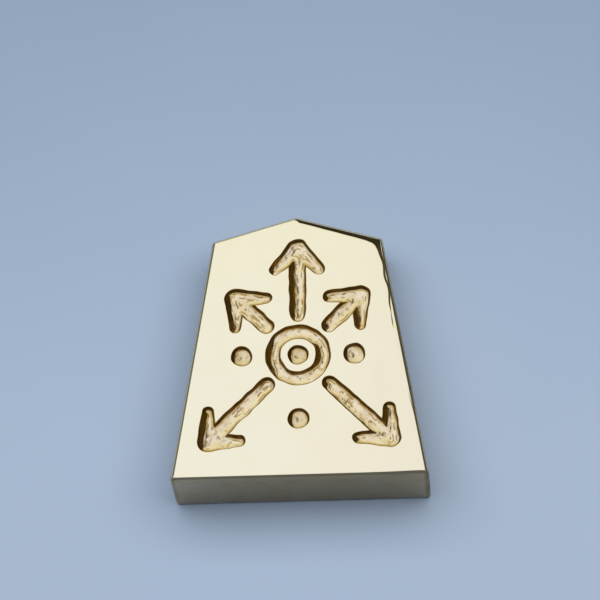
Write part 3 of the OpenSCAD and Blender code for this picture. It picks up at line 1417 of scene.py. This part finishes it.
class ShaderGroups:
    """Shader node groups that the finishes share."""

    # detail of the two noises in a surface
    GRAIN_NOISES = (("Grain", 2.0), ("Wave", 1.0))

    def __init__(self) -> None:
        """Builds the groups."""
        self.tint = self.build_tint(StainsAndPaintedShade())
        self.grain = self.build_grain()
        self.lines = self.build_lines(CutterMarks())

    @staticmethod
    def start(name: str, inputs: dict[str, str], outputs: dict[str, str]) -> Tree:
        """Starts a group with its sockets.

        Args:
            name: the group's name.
            inputs: kinds of its inputs by name.
            outputs: kinds of its outputs by name.

        Returns:
            The tree, ready for nodes.
        """
        group = bpy.data.node_groups.new(name, "ShaderNodeTree")
        for way, sockets in (("INPUT", inputs), ("OUTPUT", outputs)):
            for label, kind in sockets.items():
                group.interface.new_socket(label, in_out=way, socket_type="NodeSocket" + kind)
        return Tree(group)

    def build_tint(self, looks: StainsAndPaintedShade) -> bpy.types.NodeTree:
        """Group for faint stains in a metal's colour and gloss, and for painted shade.

        Args:
            looks: how the stains look.

        Returns:
            The group.
        """
        colours = {"Place": "Vector", "Colour": "Color", "Stain": "Color", "Shade": "Color"}
        numbers = dict.fromkeys(("Scale", "Roughness", "Gloss Change", "Lines"), "Float")
        nodes = self.start("metal_tint", colours | numbers, {"Colour": "Color", "Roughness": "Float"})
        source = nodes.add("NodeGroupInput").outputs
        clouds = nodes.noise(source["Place"], source["Scale"], looks.detail, looks.roughness)
        share = nodes.smooth(clouds, looks.stains)
        toned = nodes.blend(share, source["Colour"], source["Stain"])
        patchy = nodes.times(nodes.swing(clouds), looks.patches)
        # painted shade from the mesh's shaded values, broken into patches
        painted_shade = nodes.times(nodes.attribute(SHADED), nodes.plus(looks.least, patchy))
        deep = nodes.times(nodes.smooth(painted_shade, looks.deep), looks.deep_share)
        painted_shade = nodes.maths("MAXIMUM", painted_shade, source["Lines"], clamp=True)
        toned = nodes.blend(painted_shade, toned, source["Shade"])
        toned = nodes.blend(deep, toned, looks.deep_colour)
        rough = nodes.plus(source["Roughness"], nodes.times(share, source["Gloss Change"]))
        rough = nodes.plus(rough, nodes.times(painted_shade, looks.dulling))
        nodes.add("NodeGroupOutput", {"Colour": toned, "Roughness": rough})
        return nodes.tree

    def build_grain(self) -> bpy.types.NodeTree:
        """Group for the fine grain and the slow waves of a metal surface.

        Returns:
            The group.
        """
        depths = ("Grain Scale", "Grain Depth", "Wave Scale", "Wave Depth", "Cut")
        inputs = {"Place": "Vector"} | dict.fromkeys(depths, "Float")
        nodes = self.start("metal_grain", inputs, {"Normal": "Vector"})
        source = nodes.add("NodeGroupInput").outputs
        heights = []
        for name, detail in self.GRAIN_NOISES:
            texture = nodes.noise(source["Place"], source[name + " Scale"], detail)
            heights.append(nodes.times(texture, source[name + " Depth"]))
        height = nodes.plus(nodes.plus(*heights), source["Cut"])
        bump = nodes.add("ShaderNodeBump", {"Height": height, "Strength": 1.0, "Distance": 1.0})
        nodes.add("NodeGroupOutput", {"Normal": bump.outputs[0]})
        return nodes.tree

    def build_lines(self, marks: CutterMarks) -> bpy.types.NodeTree:
        """Group for the broken lines that a cutter left beside the walls of a recess, darkened partly
        as painted shade, and for a band of painted shade along the walls.

        Args:
            marks: how the lines are laid out.

        Returns:
            The group.
        """
        nodes = self.start("cutter_lines", {"Place": "Vector"}, {"Lines": "Float", "Rim": "Float"})
        place = nodes.add("NodeGroupInput").outputs["Place"]
        away = nodes.attribute(CLEAR)
        inside = nodes.smooth(away, marks.inside)
        drift = nodes.noise(place, marks.drift_scale, marks.drift_detail)
        shifted = nodes.plus(away, nodes.times(drift, marks.drift))
        wave = nodes.maths("SINE", nodes.times(shifted, 2 * math.pi / marks.spacing))
        patches = nodes.noise(place, marks.patch_scale, marks.patch_detail)
        gaps = nodes.noise(place, marks.gap_scale)
        broken = nodes.times(nodes.smooth(patches, marks.patches), nodes.smooth(gaps, marks.gaps))
        lines = nodes.times(nodes.smooth(wave, marks.crests), inside, broken)
        pits = nodes.noise(place, marks.pit_scale, marks.pit_detail)
        pits = nodes.smooth(pits, marks.pits)
        lines = nodes.maths("MAXIMUM", lines, nodes.times(pits, marks.pit_share, inside))
        rim = nodes.times(nodes.smooth(away, marks.rim), nodes.smooth(drift, marks.rim_patches))
        nodes.add("NodeGroupOutput", {"Lines": lines, "Rim": rim})
        return nodes.tree


MIRROR_GOLD = MetalFinish(
    name="mirror_gold",
    colour=(0.94, 0.80, 0.52),
    stain=(0.93, 0.785, 0.50),
    shade=(0.30, 0.21, 0.09),
    roughness=0.035,
    gloss_change=0.03,
    stain_scale=220.0,
    grain_scale=9000.0,
    grain_depth=0.0,
    wave_scale=160.0,
    wave_depth=0.0,
)
SATIN_GOLD = MetalFinish(
    name="satin_gold",
    colour=(0.458, 0.343, 0.187),
    stain=(0.418, 0.315, 0.17),
    shade=(0.30, 0.21, 0.09),
    roughness=0.24,
    gloss_change=0.08,
    stain_scale=300.0,
    grain_scale=7000.0,
    grain_depth=0.000001,
    wave_scale=700.0,
    wave_depth=0.000001,
)
CAST_GOLD = MetalFinish(
    name="cast_gold",
    colour=(0.88, 0.70, 0.425),
    stain=(0.80, 0.60, 0.33),
    shade=(0.53, 0.31, 0.055),
    roughness=0.10,
    gloss_change=0.08,
    stain_scale=900.0,
    grain_scale=9000.0,
    grain_depth=0.000001,
    wave_scale=2600.0,
    wave_depth=0.000008,
    lines=0.9,
    line_depth=0.00001,
)
CAST_BRASS = MetalFinish(
    name="cast_brass",
    colour=(0.62, 0.45, 0.20),
    stain=(0.50, 0.35, 0.16),
    shade=(0.34, 0.23, 0.10),
    roughness=0.38,
    gloss_change=0.15,
    stain_scale=260.0,
    grain_scale=6000.0,
    grain_depth=0.000006,
    wave_scale=900.0,
    wave_depth=0.000006,
    lines=0.4,
    line_depth=0.00001,
)


class Piece:
    """The shogi piece: a casting and the plated skin over it."""

    def __init__(self, groups: ShaderGroups) -> None:
        """Settles its sizes and finishes.

        Args:
            groups: the shared shader groups.
        """
        self.blank = Blank()
        self.marks = Marks(self.blank, Carving())
        self.wear_and_shade = WearAndEdgeShade()
        self.relief = ReliefTree()
        self.groups = groups
        lean = 2 * self.blank.half_wedge
        self.lift = Vector((0, math.sin(lean), math.cos(lean)))

    def surface(self, name: str, thickness: float, inside_out: bool = False) -> bpy.types.Mesh:
        """One closed surface, by some thickness below the plated one."""
        surface = PieceSurface(self.blank, self.marks, self.wear_and_shade, thickness)
        return surface.build().mesh(name, self.blank, inside_out)

    def casting(self) -> bpy.types.Object:
        """Solid casting inside the plating.

        Returns:
            The piece.
        """
        mesh = self.surface("casting", self.blank.plating)
        piece = placed("casting", mesh)
        brass = CAST_BRASS.material(self.groups)
        for _ in Finish:
            mesh.materials.append(brass)
        self.relief.apply(piece, self.lift, brass)
        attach(piece, BODY)
        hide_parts("cast_body")
        return piece

    def plating(self) -> bpy.types.Object:
        """Plated skin, with its outer surface and the one that lies on the casting.

        Returns:
            The piece.
        """
        outer = self.surface("plating", 0.0)
        inner = self.surface("plating_inside", self.blank.plating, True)
        work = bmesh.new()
        work.from_mesh(outer)
        work.from_mesh(inner)
        work.to_mesh(outer)
        work.free()
        bpy.data.meshes.remove(inner)
        piece = placed("plating", outer)
        finishes = [finish.material(self.groups) for finish in (MIRROR_GOLD, SATIN_GOLD, CAST_GOLD)]
        for finish in finishes:
            outer.materials.append(finish)
        self.relief.apply(piece, self.lift, finishes[Finish.CAST.value])
        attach(piece, BODY)
        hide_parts("gold_plating")
        return piece


@dataclass(frozen=True)
class PhotoCamera:
    """Where the photograph was taken from, in degrees and millimetres."""

    azimuth: float = 8.962
    elevation: float = 72.266
    roll: float = -10.248
    distance: float = 417.451
    across: float = -0.176
    up: float = 6.903
    nearest: float = 10.0
    focal_pixels: float = 4000.0
    frame_pixels: float = 600.0
    sensor: float = 36.0

    def build(self) -> bpy.types.Object:
        """Sets up the scene's camera.

        Returns:
            The camera.
        """
        azimuth, elevation, roll = (
            math.radians(angle) for angle in (self.azimuth, self.elevation, self.roll)
        )
        back = Vector((
            math.sin(azimuth) * math.cos(elevation),
            -math.cos(azimuth) * math.cos(elevation),
            math.sin(elevation),
        ))
        level = Vector((0, 0, 1)).cross(back).normalized()
        upright = back.cross(level)
        right = level * math.cos(roll) + upright * math.sin(roll)
        top = upright * math.cos(roll) - level * math.sin(roll)
        place = (back * self.distance + right * self.across + top * self.up) * MM
        data = bpy.data.cameras.new("camera")
        data.sensor_width = self.sensor
        data.lens = self.focal_pixels / self.frame_pixels * self.sensor
        data.clip_start = self.nearest * MM
        camera = placed("camera", data)
        turn = Matrix((right, top, back)).transposed().to_4x4()
        camera.matrix_world = Matrix.Translation(place) @ turn
        bpy.context.scene.camera = camera
        return camera


@dataclass(frozen=True)
class Floor:
    """Pale floor, in metres, darker from near to far and towards the sides, which paints the falloff
    of the light.
    """

    size: float = 3.0
    near_colour: Colour = (0.395, 0.491, 0.638)
    far_colour: Colour = (0.268, 0.357, 0.485)
    fade: Span = (-0.015, 0.065)
    bow: float = 5.0
    mottle: float = 0.12
    mottle_scale: float = 60.0
    mottle_detail: float = 3.0
    roughness: float = 0.7

    def build(self) -> bpy.types.Object:
        """Makes the floor.

        Returns:
            The floor.
        """
        half = self.size / 2
        corners = [(-half, -half, 0), (half, -half, 0), (half, half, 0), (-half, half, 0)]
        mesh = bpy.data.meshes.new("floor")
        mesh.from_pydata(corners, [], [(0, 1, 2, 3)])
        floor = placed("floor", mesh)
        material, nodes = started_material("floor")
        coords = nodes.add("ShaderNodeTexCoord").outputs["Object"]
        axes = nodes.add("ShaderNodeSeparateXYZ", {0: coords}).outputs
        # painted light falloff: the floor darkens away from the camera and towards the sides
        bow = nodes.times(axes["X"], axes["X"], self.bow)
        share = nodes.smooth(nodes.plus(axes["Y"], bow), self.fade)
        mottle = nodes.swing(nodes.noise(coords, self.mottle_scale, self.mottle_detail))
        share = nodes.plus(share, nodes.times(mottle, self.mottle))
        colour = nodes.blend(share, self.near_colour, self.far_colour)
        looks = {"Base Color": colour, "Roughness": self.roughness, "Specular IOR Level": 0.0}
        shader = nodes.add("ShaderNodeBsdfPrincipled", looks)
        nodes.add("ShaderNodeOutputMaterial", {"Surface": shader.outputs[0]})
        mesh.materials.append(material)
        return floor


@dataclass(frozen=True)
class Lamp:
    """Wide soft lamp overhead, a little behind the piece, in degrees and metres."""

    right: float = 2.0
    back: float = 13.5
    distance: float = 0.8
    width: float = 1.8
    height: float = 0.8
    level: float = 0.89

    def build(self) -> bpy.types.Object:
        """Makes the lamp, which only lights and isn't mirrored.

        Returns:
            The lamp.
        """
        right, back = (math.tan(math.radians(angle)) for angle in (self.right, self.back))
        away = Vector((right, back, 1)).normalized()
        sines = [
            math.sin(math.atan(size / 2 / self.distance)) for size in (self.width, self.height)
        ]
        radiance = self.level / (sines[0] * sines[1] * away.z)
        data = bpy.data.lights.new("lamp", "AREA")
        data.shape = "ELLIPSE"
        data.size = self.width
        data.size_y = self.height
        data.energy = radiance * math.pi**2 * self.width * self.height / 4
        lamp = placed("lamp", data)
        lamp.location = away * self.distance
        lamp.rotation_euler = away.to_track_quat("Z", "Y").to_euler()
        lamp.visible_glossy = False
        return lamp


@dataclass(frozen=True)
class Room:
    """Even fill light, and the dim room with a wide window that the metal mirrors.

    Each span lies along one axis of a direction, and says where a change starts and ends.
    """

    fill_cool: Colour = (0.08, 0.10, 0.13)
    fill_warm: Colour = (0.145, 0.105, 0.06)
    fill_turn: float = 0.8
    fill_span: Span = (0.0, 0.6)
    window: Colour = (0.93, 1.04, 1.30)
    window_top: Colour = (0.93, 1.03, 1.06)
    window_dim: Colour = (0.965, 0.94, 0.925)
    top_span: Span = (0.46, 0.56)
    dim_span: Span = (-0.055, -0.005)
    right_side: Span = (0.08, -0.08)
    left_side: Span = (-0.55, -0.38)
    front_side: Span = (-0.12, 0.12)
    sill: Span = (0.2, 0.45)
    lean: float = 0.28
    lean_span: Span = (0.1, 0.6)
    room_left: Colour = (0.17, 0.19, 0.22)
    room_right: Colour = (0.095, 0.09, 0.082)
    room_front: Colour = (0.105, 0.12, 0.15)
    room_back: Colour = (0.03, 0.029, 0.02)
    across_span: Span = (-0.3, 0.2)
    front_span: Span = (0.0, -0.5)
    back_span: Span = (0.4, 0.85)

    def pane(self, nodes: Tree, axes: dict[str, bpy.types.NodeSocket]) -> bpy.types.NodeSocket:
        """Share of the window in what is mirrored.

        Args:
            nodes: the world's tree.
            axes: the direction's three numbers.

        Returns:
            1 in the window and 0 outside it.
        """
        lean = nodes.times(nodes.smooth(axes["Z"], self.lean_span), self.lean)
        return nodes.times(
            nodes.smooth(nodes.maths("SUBTRACT", axes["X"], lean), self.right_side),
            nodes.smooth(axes["Y"], self.front_side),
            nodes.smooth(axes["X"], self.left_side),
            nodes.smooth(axes["Z"], self.sill),
        )

    def build(self) -> None:
        """Sets up the world."""
        world = bpy.data.worlds.new("studio")
        bpy.context.scene.world = world
        world.use_nodes = True
        world.node_tree.nodes.clear()
        nodes = Tree(world.node_tree)
        coords = nodes.add("ShaderNodeTexCoord").outputs["Generated"]
        axes = nodes.add("ShaderNodeSeparateXYZ", {0: coords}).outputs
        across, along = axes["X"], axes["Y"]
        window = nodes.blend(nodes.smooth(along, self.top_span), self.window, self.window_top)
        dim = nodes.smooth(across, self.dim_span)
        window = nodes.blend(dim, window, self.window_dim, "MULTIPLY")
        room = nodes.blend(nodes.smooth(across, self.across_span), self.room_left, self.room_right)
        room = nodes.blend(nodes.smooth(along, self.front_span), room, self.room_front)
        room = nodes.blend(nodes.smooth(along, self.back_span), room, self.room_back)
        mirrored = nodes.blend(self.pane(nodes, axes), room, window)
        side = nodes.plus(across, nodes.times(along, self.fill_turn))
        fill = nodes.blend(nodes.smooth(side, self.fill_span), self.fill_cool, self.fill_warm)
        glossy = nodes.add("ShaderNodeLightPath").outputs["Is Glossy Ray"]
        colour = nodes.blend(glossy, fill, mirrored)
        background = nodes.add("ShaderNodeBackground", {"Color": colour, "Strength": 1.0})
        nodes.add("ShaderNodeOutputWorld", {"Surface": background.outputs[0]})


def main() -> None:
    """Builds the camera, the studio and the piece."""
    logging.basicConfig(level=logging.INFO, format="%(name)s: %(message)s")
    bpy.context.scene.view_settings.view_transform = "Standard"
    for fitting in (PhotoCamera(), Floor(), Lamp(), Room()):
        fitting.build()
    piece = Piece(ShaderGroups())
    for made in (piece.casting(), piece.plating()):
        LOG.info("made %s with %d faces", made.name, len(made.data.polygons))


if __name__ == "__main__":
    main()
